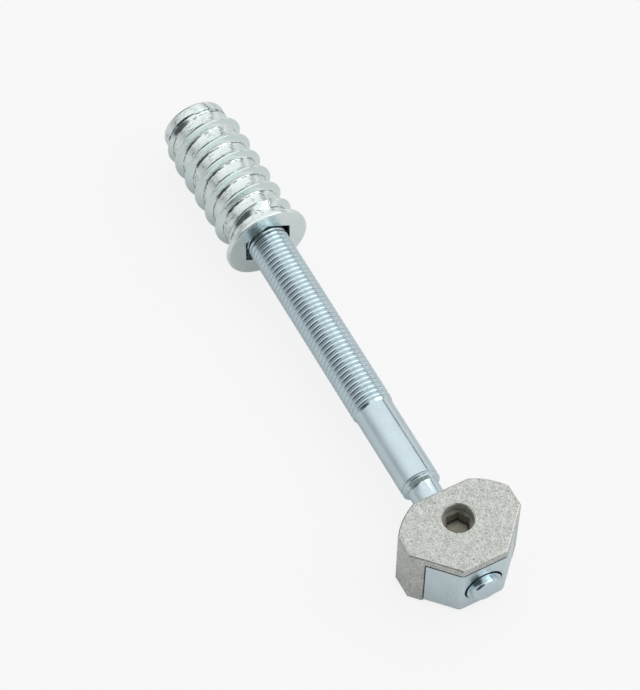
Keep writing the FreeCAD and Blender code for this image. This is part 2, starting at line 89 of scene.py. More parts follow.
# How far the floor turns into the plain background, in the picture and in reflections
FLOOR_SHARE_SEEN = 0.84
FLOOR_SHARE_REFLECTED = 0.15

# Places read from the frame, in metres
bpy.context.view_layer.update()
BOLT_AXIS = Vector(
    next(joint["pos_m"] for joint in frame["joints"] if joint["name"] == "bolt_spin"))
BOLT_LOW, BOLT_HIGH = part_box("joint_bolt")
WHEEL_LOW, WHEEL_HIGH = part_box("bevel_wheel")
PINION_LOW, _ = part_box("drive_pinion")
HEAD_LOW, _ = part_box("head_housing")
INSERT_LOW, INSERT_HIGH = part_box("wood_insert")


# Sizes and colours that a user would change

class BoltSizes(PropertyGroup):
    pitch: FloatProperty(
        name="Pitch", description="Distance between two crests of the bolt's thread",
        default=1.0 * MM, unit="LENGTH", precision=5)
    thread_start: FloatProperty(
        name="Thread start", description="Where the thread begins, from the drive axis",
        default=29.7 * MM, unit="LENGTH", precision=5)
    shank_diameter: FloatProperty(
        name="Shank", description="Diameter of the plain shank",
        default=7.4 * MM, unit="LENGTH", precision=5)
    neck_diameter: FloatProperty(
        name="Neck", description="Diameter of the neck between the head and the shank",
        default=5.8 * MM, unit="LENGTH", precision=5)
    shoulder: FloatProperty(
        name="Shoulder", description="Where the shank begins, from the drive axis",
        default=11.8 * MM, unit="LENGTH", precision=5)
    steps: IntProperty(
        name="Steps", description="Flats round the bolt in its mesh", default=64, min=16, max=96)


class InsertSizes(PropertyGroup):
    core_diameter: FloatProperty(
        name="Core", description="Diameter of the insert between its crests",
        default=12.2 * MM, unit="LENGTH", precision=5)
    crest_diameter: FloatProperty(
        name="Crests", description="Diameter over the coarse thread's crests",
        default=14.8 * MM, unit="LENGTH", precision=5)
    pitch: FloatProperty(
        name="Pitch", description="Distance between two crests of the coarse thread",
        default=4.25 * MM, unit="LENGTH", precision=5)
    first_crest: FloatProperty(
        name="First crest", description="First whole crest, from the flange's face",
        default=4.85 * MM, unit="LENGTH", precision=5)
    first_turn: FloatProperty(
        name="Turn", description="Angle round the bolt at the first crest",
        default=math.radians(161.6), subtype="ANGLE")
    steps: IntProperty(
        name="Steps", description="Flats round the insert in its mesh", default=96, min=24, max=128)


class SocketSizes(PropertyGroup):
    across: FloatProperty(
        name="Across flats", description="Width of the pinion's hex socket",
        default=4.08 * MM, unit="LENGTH", precision=5)
    floor_thickness: FloatProperty(
        name="Floor", description="Thickness of the socket's closed bottom",
        default=0.5 * MM, unit="LENGTH", precision=5)


class FinishColours(PropertyGroup):
    casting_light: FloatVectorProperty(
        name="Casting, light", description="Light patches of the cast zinc",
        default=(0.83, 0.85, 0.81), subtype="COLOR", min=0, max=1)
    casting_dark: FloatVectorProperty(
        name="Casting, dark", description="Dark specks of the cast zinc",
        default=(0.38, 0.40, 0.37), subtype="COLOR", min=0, max=1)
    sheet: FloatVectorProperty(
        name="Sheet", description="Zinc plating on the folded plate",
        default=(0.73, 0.85, 0.89), subtype="COLOR", min=0, max=1)
    bolt: FloatVectorProperty(
        name="Bolt", description="Bluish zinc plating on the bolt",
        default=(0.65, 0.78, 0.83), subtype="COLOR", min=0, max=1)
    insert: FloatVectorProperty(
        name="Insert", description="Whitish zinc plating on the insert",
        default=(0.88, 0.94, 0.93), subtype="COLOR", min=0, max=1)
    insert_tint: FloatVectorProperty(
        name="Insert tint", description="Greenish patches in the insert's plating",
        default=(0.76, 0.87, 0.86), subtype="COLOR", min=0, max=1)
    ridge_tint: FloatVectorProperty(
        name="Ridge tint", description="Greenish plating on the insert's coarse thread",
        default=(0.77, 0.88, 0.87), subtype="COLOR", min=0, max=1)
    # Dull steel of the pinion, made darker as painted shade in the recess where it shows
    pinion_steel_and_shade: FloatVectorProperty(
        name="Pinion", description="Steel of the pinion",
        default=(0.34, 0.34, 0.29), subtype="COLOR", min=0, max=1)
    socket_floor: FloatVectorProperty(
        name="Socket floor", description="Brownish floor of the pinion's hex socket",
        default=(0.54, 0.50, 0.41), subtype="COLOR", min=0, max=1)


class StudioSettings(PropertyGroup):
    camera_place: FloatVectorProperty(
        name="Camera", description="Where the camera stands",
        default=(-0.1850, 0.1266, 0.4115), subtype="TRANSLATION", unit="LENGTH", precision=4)
    camera_aim: FloatVectorProperty(
        name="Aim", description="Point in the middle of the picture",
        default=(0.0470, 0.0020, 0.0066), subtype="TRANSLATION", unit="LENGTH", precision=4)
    camera_roll: FloatProperty(
        name="Roll", description="Turn of the camera about its view",
        default=math.radians(0.53), subtype="ANGLE")
    lens: FloatProperty(
        name="Lens", description="Focal length for a 36 mm wide sensor, in millimetres",
        default=138.16)
    floor_colour: FloatVectorProperty(
        name="Floor", description="Colour of the floor under the light",
        default=(0.80, 0.80, 0.80), subtype="COLOR", min=0, max=1)
    background: FloatVectorProperty(
        name="Background", description="Colour that the floor fades to in the picture",
        default=(0.995, 0.995, 0.995), subtype="COLOR", min=0, max=1)
    dome: FloatProperty(
        name="Dome", description="Strength of the soft light from all around", default=0.95)
    key_watts: FloatProperty(
        name="Key lamp", description="Power of the key lamp, in watts", default=0.6)


class JointBoltSettings(PropertyGroup):
    bolt: PointerProperty(type=BoltSizes)
    insert: PointerProperty(type=InsertSizes)
    socket: PointerProperty(type=SocketSizes)
    finish: PointerProperty(type=FinishColours)
    studio: PointerProperty(type=StudioSettings)


def settings():
    return bpy.context.scene.joint_bolt


# Modelling steps shared by the pieces

def leave_all():
    """Back to object mode with nothing selected."""
    if bpy.context.object and bpy.context.object.mode != "OBJECT":
        bpy.ops.object.mode_set(mode="OBJECT")
    bpy.ops.object.select_all(action="DESELECT")


def pick(piece):
    """Makes a piece the only selected one and the active one."""
    leave_all()
    piece.select_set(True)
    bpy.context.view_layer.objects.active = piece


def context_piece(name):
    """The piece that an operator has just added, under its name."""
    piece = bpy.context.object
    piece.name = name
    return piece


def edit_whole(piece):
    """Edit mode with the whole mesh selected."""
    pick(piece)
    bpy.ops.object.mode_set(mode="EDIT")
    bpy.ops.mesh.select_all(action="SELECT")


def cleaned(piece, merge_distance):
    """Merges points that lie together and turns every face outwards."""
    edit_whole(piece)
    bpy.ops.mesh.remove_doubles(threshold=merge_distance)
    bpy.ops.mesh.normals_make_consistent(inside=False)
    bpy.ops.object.mode_set(mode="OBJECT")
    return piece


def drawn_profile(name, points):
    """Line of edges through (along, radius) points, beside the bolt's axis."""
    leave_all()
    bpy.ops.mesh.primitive_plane_add(size=MM, location=BOLT_AXIS)
    piece = context_piece(name)
    edit_whole(piece)
    bpy.ops.mesh.merge(type="CENTER")
    bpy.ops.mesh.select_all(action="SELECT")
    along, radius = points[0]
    bpy.ops.transform.translate(value=(along, radius, 0))
    for (from_along, from_radius), (to_along, to_radius) in zip(points, points[1:]):
        step = (to_along - from_along, to_radius - from_radius, 0)
        bpy.ops.mesh.extrude_vertices_move(TRANSFORM_OT_translate={"value": step})
    bpy.ops.object.mode_set(mode="OBJECT")
    return piece


def apply_modifier(piece, kind, **values):
    """Adds a modifier with these values and applies it."""
    pick(piece)
    modifier = piece.modifiers.new(kind.title(), kind)
    for key, value in values.items():
        setattr(modifier, key, value)
    bpy.ops.object.modifier_apply(modifier=modifier.name)


def spun(piece, steps, pitch=0.0, turns=1):
    """Turns a profile about the bolt's axis, and along it where a pitch is given."""
    apply_modifier(piece, "SCREW", axis="X", angle=FULL_TURN, steps=steps, render_steps=steps,
                   screw_offset=pitch, iterations=turns, use_merge_vertices=True,
                   merge_threshold=MERGE_DISTANCE)
    return cleaned(piece, 2 * MERGE_DISTANCE)


def trimmed(piece, low, high):
    """Cuts a spun piece square at both ends and closes the cuts."""
    for place, outer in ((low, False), (high, True)):
        edit_whole(piece)
        bpy.ops.mesh.bisect(plane_co=(place, 0, 0), plane_no=(1, 0, 0), use_fill=True,
                            clear_inner=not outer, clear_outer=outer, threshold=0.0005 * MM)
        bpy.ops.object.mode_set(mode="OBJECT")
    return piece


def limited_radius(piece, largest):
    """Draws each vertex in to the largest radius that its place along the axis allows."""
    for vertex in piece.data.vertices:
        across = math.hypot(vertex.co.y, vertex.co.z)
        limit = largest(vertex.co.x)
        if across > limit:
            vertex.co.y *= limit / across
            vertex.co.z *= limit / across
    piece.data.update()


def combined(piece, other, operation):
    """Joins or cuts a piece with another, which is then removed."""
    apply_modifier(piece, "BOOLEAN", operation=operation, solver="EXACT", object=other)
    bpy.data.objects.remove(other)
    return piece


def dressed(piece, material):
    """Puts the piece's place into its mesh, shades it and gives it its finish."""
    pick(piece)
    bpy.ops.object.transform_apply(location=True, rotation=True, scale=True)
    bpy.ops.object.shade_smooth_by_angle(angle=SMOOTH_ANGLE)
    piece.data.materials.clear()
    piece.data.materials.append(material)


def finished(piece, material, body, node):
    """Dresses a piece and hands it to its body, in place of the node that it makes again."""
    dressed(piece, material)
    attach(piece, body)
    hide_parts(node)


def rounded_corner(before, corner, after, radius, steps=4):
    """Points of an arc that rounds a profile's corner."""
    corner = Vector(corner)
    inward = (Vector(before) - corner).normalized()
    onward = (Vector(after) - corner).normalized()
    half = inward.angle(onward) / 2
    reach = radius / math.tan(half)
    centre = corner + (inward + onward).normalized() * (radius / math.sin(half))
    first = corner + inward * reach - centre
    last = corner + onward * reach - centre
    points = []
    for i in range(steps + 1):
        arm = first.lerp(last, i / steps).normalized() * radius
        points.append(tuple(centre + arm))
    return points


def rounded_profile(points):
    """Profile from (along, radius, rounding) points in millimetres, in metres."""
    flat = [(along * MM, radius * MM) for along, radius, _ in points]
    result = []
    for i, (_, _, rounding) in enumerate(points):
        if rounding:
            result += rounded_corner(flat[i - 1], flat[i], flat[i + 1], rounding * MM)
        else:
            result.append(flat[i])
    return result


# Shader nodes

def set_inputs(node, values):
    for key, value in values.items():
        node.inputs[key].default_value = value


def add_node(tree, kind, inputs=None, **attributes):
    """New shader node with these attributes and input values."""
    node = tree.nodes.new(kind)
    for key, value in attributes.items():
        setattr(node, key, value)
    set_inputs(node, inputs or {})
    return node


def ramp_mask(tree, value, nothing, full):
    """Mask that goes from 0 at one value to 1 at another."""
    ramp = add_node(tree, "ShaderNodeMapRange", {"From Min": nothing, "From Max": full})
    tree.links.new(value, ramp.inputs["Value"])
    return ramp.outputs["Result"]


def product(tree, first, second):
    """Mask where two masks meet."""
    times = add_node(tree, "ShaderNodeMath", operation="MULTIPLY")
    tree.links.new(first, times.inputs[0])
    tree.links.new(second, times.inputs[1])
    return times.outputs[0]


def two_tone(tree, mask, dark, light):
    """Colour from a dark tone to a light one, as the mask goes from 0 to 1."""
    mix = add_node(tree, "ShaderNodeMix", {"A": (*dark, 1), "B": (*light, 1)}, data_type="RGBA")
    tree.links.new(mask, mix.inputs["Factor"])
    return mix.outputs["Result"]


def tinted(tree, mask, colour, tint):
    """A colour that gives way to a plain tint where the mask is 1."""
    mix = add_node(tree, "ShaderNodeMix", {"B": (*tint, 1)}, data_type="RGBA")
    tree.links.new(mask, mix.inputs["Factor"])
    tree.links.new(colour, mix.inputs["A"])
    return mix.outputs["Result"]


def bumped(tree, surface, heights):
    """Chain of bumps from (height, strength, distance in millimetres)."""
    normal = None
    for height, strength, distance in heights:
        bump = add_node(tree, "ShaderNodeBump", {"Strength": strength, "Distance": distance * MM})
        tree.links.new(height, bump.inputs["Height"])
        if normal:
            tree.links.new(normal, bump.inputs["Normal"])
        normal = bump.outputs["Normal"]
    tree.links.new(normal, surface.inputs["Normal"])


def noise(tree, where, values):
    """Noise over a place, with these values for its inputs."""
    node = add_node(tree, "ShaderNodeTexNoise", values)
    tree.links.new(where, node.inputs["Vector"])
    return node.outputs["Fac"]


def group_shell(name, inputs, outputs):
    """Empty node group with its sockets, and its input and output nodes."""
    tree = bpy.data.node_groups.new(name, "ShaderNodeTree")
    for label, kind, value in inputs:
        socket = tree.interface.new_socket(name=label, in_out="INPUT", socket_type=kind)
        socket.default_value = value
    for label, kind in outputs:
        tree.interface.new_socket(name=label, in_out="OUTPUT", socket_type=kind)
    return tree, tree.nodes.new("NodeGroupInput"), tree.nodes.new("NodeGroupOutput")


def millimetres(tree):
    """Object coordinates, scaled so that one unit is a millimetre."""
    place = add_node(tree, "ShaderNodeTexCoord")
    scale = add_node(tree, "ShaderNodeMapping", {"Scale": (1 / MM, 1 / MM, 1 / MM)})
    tree.links.new(place.outputs["Object"], scale.inputs["Vector"])
    return scale.outputs["Vector"]


def patches_group():
    """Cloudy patches with finer specks in them: a mask, a roughness and a height."""
    tree, enter, leave = group_shell(
        "Patches and specks",
        [("Vector", "NodeSocketVector", (0, 0, 0)),
         ("Patch scale", "NodeSocketFloat", 0.8),
         ("Speck scale", "NodeSocketFloat", 4.0),
         ("Speck share", "NodeSocketFloat", 0.5),
         ("Roughness low", "NodeSocketFloat", 0.3),
         ("Roughness high", "NodeSocketFloat", 0.5)],
        [("Mask", "NodeSocketFloat"),
         ("Roughness", "NodeSocketFloat"),
         ("Height", "NodeSocketFloat")])
    link = tree.links.new
    patch = add_node(tree, "ShaderNodeTexNoise", {"Detail": 3.0, "Roughness": 0.6})
    speck = add_node(tree, "ShaderNodeTexNoise", {"Detail": 4.0, "Roughness": 0.7})
    link(enter.outputs["Vector"], patch.inputs["Vector"])
    link(enter.outputs["Patch scale"], patch.inputs["Scale"])
    link(enter.outputs["Vector"], speck.inputs["Vector"])
    link(enter.outputs["Speck scale"], speck.inputs["Scale"])
    both = add_node(tree, "ShaderNodeMix")
    link(enter.outputs["Speck share"], both.inputs["Factor"])
    link(patch.outputs["Fac"], both.inputs["A"])
    link(speck.outputs["Fac"], both.inputs["B"])
    mask = add_node(tree, "ShaderNodeMapRange", {"From Min": 0.38, "From Max": 0.62})
    link(both.outputs["Result"], mask.inputs["Value"])
    link(mask.outputs["Result"], leave.inputs["Mask"])
    rough = add_node(tree, "ShaderNodeMapRange", {"From Min": 0.35, "From Max": 0.65})
    link(patch.outputs["Fac"], rough.inputs["Value"])
    link(enter.outputs["Roughness low"], rough.inputs["To Min"])
    link(enter.outputs["Roughness high"], rough.inputs["To Max"])
    link(rough.outputs["Result"], leave.inputs["Roughness"])
    link(both.outputs["Result"], leave.inputs["Height"])
    return tree


def shared_patches():
    """The patches group, made when it is first needed."""
    return bpy.data.node_groups.get("Patches and specks") or patches_group()


def patches(tree, where, values):
    """One use of the patches group in a material."""
    node = add_node(tree, "ShaderNodeGroup", node_tree=shared_patches())
    set_inputs(node, values)
    tree.links.new(where, node.inputs["Vector"])
    return node


def new_metal(name, metallic=1.0):
    """Metallic material, with its tree and its surface node."""
    material = bpy.data.materials.new(name)
    material.use_nodes = True
    surface = material.node_tree.nodes["Principled BSDF"]
    surface.inputs["Metallic"].default_value = metallic
    return material, material.node_tree, surface


def about_bolt(tree, where):
    """Place along the bolt, angle round it and distance from its axis, in millimetres."""
    centred = add_node(tree, "ShaderNodeMapping", {"Location": (0, 0, -BOLT_AXIS.z / MM)})
    parts = add_node(tree, "ShaderNodeSeparateXYZ")
    turn = add_node(tree, "ShaderNodeMath", operation="ARCTAN2")
    across = add_node(tree, "ShaderNodeCombineXYZ")
    radius = add_node(tree, "ShaderNodeVectorMath", operation="LENGTH")
    link = tree.links.new
    link(where, centred.inputs["Vector"])
    link(centred.outputs["Vector"], parts.inputs["Vector"])
    link(parts.outputs["Y"], turn.inputs[0])
    link(parts.outputs["Z"], turn.inputs[1])
    link(parts.outputs["Y"], across.inputs["Y"])
    link(parts.outputs["Z"], across.inputs["Z"])
    link(across.outputs["Vector"], radius.inputs[0])
    return parts.outputs["X"], turn.outputs[0], radius.outputs["Value"]


def laid_round(tree, along, turn, scale):
    """Noise drawn out round the insert, as a turning tool leaves it."""
    laid = add_node(tree, "ShaderNodeCombineXYZ")
    stretched = add_node(tree, "ShaderNodeMapping", {"Scale": (*scale, 1.0)})
    tree.links.new(along, laid.inputs["X"])
    tree.links.new(turn, laid.inputs["Y"])
    tree.links.new(laid.outputs["Vector"], stretched.inputs["Vector"])
    return noise(tree, stretched.outputs["Vector"],
                 {"Scale": 1.0, "Detail": 2.5, "Roughness": 0.6})


def painted_groove_lines(tree, where, along, turn):
    """Mask of thin, broken, wandering lines that run round the insert, where the shade of fine
    grooves is painted.
    """
    level = add_node(tree, "ShaderNodeMath", {1: 0.5}, operation="SUBTRACT")
    away = add_node(tree, "ShaderNodeMath", operation="ABSOLUTE")
    tree.links.new(laid_round(tree, along, turn, (1.6, 1.7)), level.inputs[0])
    tree.links.new(level.outputs[0], away.inputs[0])
    thin = ramp_mask(tree, away.outputs[0], 0.016, 0.005)
    gaps = noise(tree, where, {"Scale": 0.45, "Detail": 1.0})
    return product(tree, thin, ramp_mask(tree, gaps, 0.48, 0.54))


def painted_seam_shade(tree, colour):
    """Darkens a colour in the narrow gaps between pieces: painted shade in the seams."""
    # Painted shade: the colour turns near-black where other surfaces close in
    hollow = add_node(tree, "ShaderNodeAmbientOcclusion", {"Distance": SEAM_SHADE_REACH}, samples=8)
    gap = ramp_mask(tree, hollow.outputs["AO"], 0.60, 0.30)
    return tinted(tree, gap, colour, SEAM_SHADE_COLOUR)


def sloping(tree):
    """Mask of the rounded edges between a level face and an upright one."""
    place = add_node(tree, "ShaderNodeTexCoord")
    parts = add_node(tree, "ShaderNodeSeparateXYZ")
    tree.links.new(place.outputs["Normal"], parts.inputs["Vector"])
    level = ramp_mask(tree, parts.outputs["Z"], 0.98, 0.93)
    return product(tree, level, ramp_mask(tree, parts.outputs["Z"], 0.08, 0.16))


def cast_zinc():
    """Mottled casting with dark pits, smooth worn edges and painted shade in its seams."""
    colours = settings().finish
    worn_roughness = 0.16
    material, tree, surface = new_metal("Cast zinc", metallic=0.7)
    where = millimetres(tree)
    grain = patches(tree, where, {"Patch scale": 0.6, "Speck scale": 3.6, "Speck share": 0.75,
                                  "Roughness low": 0.36, "Roughness high": 0.52})
    colour = two_tone(tree, grain.outputs["Mask"], colours.casting_dark, colours.casting_light)
    pitted = noise(tree, where, {"Scale": 2.1, "Detail": 2.0, "Roughness": 0.6})
    deep = add_node(tree, "ShaderNodeMapRange",
                    {"From Min": 0.62, "From Max": 0.68, "To Max": 0.75})
    tree.links.new(pitted, deep.inputs["Value"])
    pit_colour = tuple(0.5 * part for part in colours.casting_dark)
    colour = tinted(tree, deep.outputs["Result"], colour, pit_colour)
    # The casting's colour carries painted shade in its seams
    tree.links.new(painted_seam_shade(tree, colour), surface.inputs["Base Color"])
    rough = add_node(tree, "ShaderNodeMix", {"B": worn_roughness})
    tree.links.new(sloping(tree), rough.inputs["Factor"])
    tree.links.new(grain.outputs["Roughness"], rough.inputs["A"])
    tree.links.new(rough.outputs["Result"], surface.inputs["Roughness"])
    pits = noise(tree, where, {"Scale": 6.0, "Detail": 4.0, "Roughness": 0.65})
    bumped(tree, surface, [(grain.outputs["Height"], 0.35, 0.10), (pits, 0.25, 0.03)])
    return material


def mottled_metal(name, light, dull_share, pattern, bump, metallic=1.0, shaded_seams=False):
    """Metal between a light tone and a duller one, with a (strength, distance) bump."""
    material, tree, surface = new_metal(name, metallic)
    cloud = patches(tree, millimetres(tree), pattern)
    dull = tuple(dull_share * part for part in light)
    colour = two_tone(tree, cloud.outputs["Mask"], dull, light)
    # Painted shade in the seams, where asked for
    if shaded_seams:
        colour = painted_seam_shade(tree, colour)
    tree.links.new(colour, surface.inputs["Base Color"])
    tree.links.new(cloud.outputs["Roughness"], surface.inputs["Roughness"])
    bumped(tree, surface, [(cloud.outputs["Height"], *bump)])
    return material


def plated_sheet():
    """Satin zinc plating on the folded plate, with painted shade in its seams."""
    return mottled_metal(
        "Plated sheet", settings().finish.sheet, dull_share=0.9,
        pattern={"Patch scale": 0.25, "Speck scale": 2.0,
                 "Roughness low": 0.26, "Roughness high": 0.36},
        bump=(0.12, 0.05), shaded_seams=True)


def plated_bolt():
    """Bright bluish zinc plating."""
    return mottled_metal(
        "Plated bolt", settings().finish.bolt, dull_share=0.9,
        pattern={"Patch scale": 0.3, "Speck scale": 2.5,
                 "Roughness low": 0.12, "Roughness high": 0.20},
        bump=(0.10, 0.04))


def plated_insert():
    """Whitish plating with a greenish ridge, painted shade in thin lines round the core and painted
    shade along the ridge's foot.
    """
    colours = settings().finish
    material, tree, surface = new_metal("Plated insert")
    where = millimetres(tree)
    cloud = patches(tree, where, {"Patch scale": 0.35, "Speck scale": 1.6,
                                  "Roughness low": 0.13, "Roughness high": 0.24})
    along, turn, radius = about_bolt(tree, where)
    start, end = INSERT_LOW.x / MM, INSERT_HIGH.x / MM
    core = settings().insert.core_diameter / 2 / MM

    def above_core(nothing, full):
        """Mask by the height above the core's surface, in millimetres."""
        return ramp_mask(tree, radius, core + nothing, core + full)

    between = product(tree, ramp_mask(tree, along, start + 1.1, start + 1.3),
                      ramp_mask(tree, along, end - 0.5, end - 0.8))
    colour = two_tone(tree, cloud.outputs["Mask"], colours.insert_tint, colours.insert)
    ridge = product(tree, between, above_core(0.25, 0.45))
    colour = tinted(tree, ridge, colour, colours.ridge_tint)
    plain = product(tree, between, above_core(0.25, 0.20))
    outside = product(tree, plain, above_core(-0.5, -0.3))
    # Painted shade: thin dark lines for the fine grooves round the core
    groove_shade = product(tree, outside, painted_groove_lines(tree, where, along, turn))
    colour = tinted(tree, groove_shade, colour, PAINTED_LINE_SHADE)
    # Painted shade: a broken dark line in the crease at the foot of the ridge
    foot_shade = product(tree, above_core(0.02, 0.04), above_core(0.13, 0.07))
    broken = noise(tree, where, {"Scale": 0.8, "Detail": 1.0})
    shade_kept = product(tree, between, ramp_mask(tree, broken, 0.44, 0.50))
    colour = tinted(tree, product(tree, foot_shade, shade_kept), colour, PAINTED_LINE_SHADE)
    tree.links.new(colour, surface.inputs["Base Color"])
    tree.links.new(cloud.outputs["Roughness"], surface.inputs["Roughness"])
    crinkle = noise(tree, where, {"Scale": 1.5, "Detail": 3.0, "Roughness": 0.55})
    grooves = laid_round(tree, along, turn, (2.4, 2.2))
    bumped(tree, surface, [(crinkle, 0.4, 0.10), (grooves, 0.5, 0.10)])
    return material


def sintered_steel(name, light):
    """Dull steel, partly without metallic shine, as it comes from the press."""
    return mottled_metal(
        name, light, dull_share=0.55,
        pattern={"Patch scale": 0.8, "Speck scale": 5.0,
                 "Roughness low": 0.32, "Roughness high": 0.5},
        bump=(0.4, 0.10), metallic=0.45)


def finish_node(node, material):
    """Gives a piece of the frame its finish."""
    slots = frame["nodes"][node].data.materials
    if len(slots) == 0:
        slots.append(material)
    for i in range(len(slots)):
        slots[i] = material


def bolt_finish():
    """The bolt's material, which the bevel wheel shares."""
    return bpy.data.materials.get("Plated bolt") or plated_bolt()


# Pieces

class OBJECT_OT_finish_head(Operator):
    """Gives the casting, the folded plate and the gears their finishes"""
    bl_idname = "joint_bolt.finish_head"
    bl_label = "Finish the head"

    def execute(self, context):
        finish_node("head_housing", cast_zinc())
        finish_node("closing_plate", plated_sheet())
        # The pinion's dark colour carries painted shade of its recess
        finish_node("drive_pinion", sintered_steel("Pinion steel", settings().finish.pinion_steel_and_shade))
        finish_node("bevel_wheel", bolt_finish())
        return {"FINISHED"}


class OBJECT_OT_add_socket_floor(Operator):
    """Models the closed bottom of the pinion's hex socket"""
    bl_idname = "joint_bolt.add_socket_floor"
    bl_label = "Add the socket's floor"

    def execute(self, context):
        sizes = settings().socket
        gap, rim, dip, edge = 0.02 * MM, 0.45 * MM, 0.2 * MM, 0.05 * MM
        narrowing = 0.5
        leave_all()
        bpy.ops.mesh.primitive_cylinder_add(
            vertices=6, radius=sizes.across / math.sqrt(3) - gap, depth=sizes.floor_thickness,
            location=(0, 0, PINION_LOW.z + sizes.floor_thickness / 2))
        floor = context_piece("socket_floor")
        bpy.ops.object.transform_apply(location=True, rotation=True, scale=True)
        bpy.ops.object.mode_set(mode="EDIT")
        bpy.ops.mesh.select_all(action="DESELECT")
        bpy.ops.object.mode_set(mode="OBJECT")
        for face in floor.data.polygons:
            face.select = face.normal.z > 0.9
        bpy.ops.object.mode_set(mode="EDIT")
        bpy.ops.mesh.inset(thickness=rim)
        bpy.ops.mesh.extrude_region_move(TRANSFORM_OT_translate={"value": (0, 0, -dip)})
        bpy.ops.transform.resize(value=(narrowing, narrowing, 1))
        bpy.ops.object.mode_set(mode="OBJECT")
        apply_modifier(floor, "BEVEL", width=edge, segments=2, limit_method="ANGLE")
        dressed(floor, sintered_steel("Socket floor", settings().finish.socket_floor))
        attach(floor, "pinion")
        return {"FINISHED"}


def bolt_thread_points(start, major, pitch):
    """One pitch of a rolled thread as (along, radius) points, with its crest in the middle."""
    depth = 0.36 * pitch
    roundness = 3
    steps = 12
    points = []
    for i in range(steps + 1):
        share = i / steps
        fall = depth * abs(2 * share - 1) ** roundness
        points.append((start + share * pitch, major - fall))
    return points


def threaded_length(name, start, end, major, sizes, rise):
    """Closed threaded bar, drawn in at its ends by the function rise."""
    spare_turns = 3
    turns = math.ceil((end - start) / sizes.pitch) + spare_turns
    first = start - sizes.pitch * spare_turns / 2
    profile = bolt_thread_points(first, major, sizes.pitch)
    bar = spun(drawn_profile(name, profile), sizes.steps, sizes.pitch, turns)
    limited_radius(bar, rise)
    return trimmed(bar, start, end)


class OBJECT_OT_add_bolt(Operator):
    """Models the bolt, from the button to the threaded tip"""
    bl_idname = "joint_bolt.add_bolt"
    bl_label = "Add the bolt"

    def execute(self, context):
        sizes = settings().bolt
        tip = BOLT_HIGH.x
        major = (BOLT_HIGH.y - BOLT_LOW.y) / 2
        shank = sizes.shank_diameter / 2
        start = sizes.thread_start
        run_in_slope = 0.35
        tip_chamfer = 0.9 * MM
        least = 0.1 * MM

        def rise(along):
            """The thread's radius grows from the shank's, and is chamfered at the tip."""
            opening = shank + max(0.0, along - start) * run_in_slope
            closing = major + (tip - tip_chamfer - along)
            return max(least, min(major, opening, closing))

        bolt = threaded_length("threaded_bolt", start, tip, major, sizes, rise)
        combined(bolt, turned_shank(sizes), "UNION")
        cleaned(bolt, MERGE_DISTANCE)
        finished(bolt, bolt_finish(), "bolt", "joint_bolt")
        return {"FINISHED"}


def turned_shank(sizes):
    """Everything on the bolt that isn't threaded, with two flats on the wheel's seat."""
    # Places from the drive axis, radii and steps, in millimetres
    button_end, seat_start, seat_end = BOLT_LOW.x / MM, WHEEL_LOW.x / MM, WHEEL_HIGH.x / MM
    slot_start, slot_end = 4.6, 6.3
    shoulder, thread = sizes.shoulder / MM, sizes.thread_start / MM
    button, seat, collar, slot_floor = 2.8, 2.3, 2.7, 2.25
    neck, shank = sizes.neck_diameter / 2 / MM, sizes.shank_diameter / 2 / MM
    fillet_length, fillet_height, chamfer = 0.25, 0.1, 0.55
    groove_start, groove_bottom, groove_end, groove_depth = 0.65, 1.30, 1.45, 0.22
    tuck_start, tuck_end, tuck_depth = 0.35, 0.75, 0.35
    points = [
        (button_end, 0, 0),
        (button_end, button, 0.7),
        (seat_start, button, 0),
        (seat_start, seat, 0),
        (seat_end, seat, 0),
        (seat_end, collar, 0),
        (slot_start, collar, 0),
        (slot_start, slot_floor, 0),
        (slot_end, slot_floor, 0),
        (slot_end, neck, 0),
        (shoulder - fillet_length, neck, 0),
        (shoulder, neck + fillet_height, 0),
        (shoulder, shank - chamfer, 0.08),
        (shoulder + chamfer, shank, 0.15),
        (shoulder + groove_start, shank, 0.1),
        (shoulder + groove_bottom, shank - groove_depth, 0.06),
        (shoulder + groove_end, shank, 0.08),
        (thread + tuck_start, shank, 0),
        (thread + tuck_end, shank - tuck_depth, 0),
        (thread + tuck_end, 0, 0),
    ]
    body = spun(drawn_profile("turned_shank", rounded_profile(points)), sizes.steps)
    half_flats = 1.95 * MM
    spare = 0.01 * MM
    for vertex in body.data.vertices:
        if seat_start * MM - spare < vertex.co.x < seat_end * MM + spare:
            if math.hypot(vertex.co.y, vertex.co.z) < seat * MM + spare:
                vertex.co.z = max(-half_flats, min(half_flats, vertex.co.z))
    return body


class OBJECT_OT_add_insert(Operator):
    """Models the insert with its coarse wood thread"""
    bl_idname = "joint_bolt.add_insert"
    bl_label = "Add the wood insert"

    def execute(self, context):
        sizes = settings().insert
        start = INSERT_LOW.x
        end = INSERT_HIGH.x
        flange = (INSERT_HIGH.y - INSERT_LOW.y) / 2
        body = coarse_thread(sizes, start, end - NOSE_LENGTH * MM)
        combined(body, insert_ends(sizes, start, end, flange), "UNION")
        combined(body, threaded_bore(start, end), "DIFFERENCE")
        combined(body, hex_recess(start), "DIFFERENCE")
        cleaned(body, MERGE_DISTANCE)
        finished(body, plated_insert(), "insert", "wood_insert")
        return {"FINISHED"}


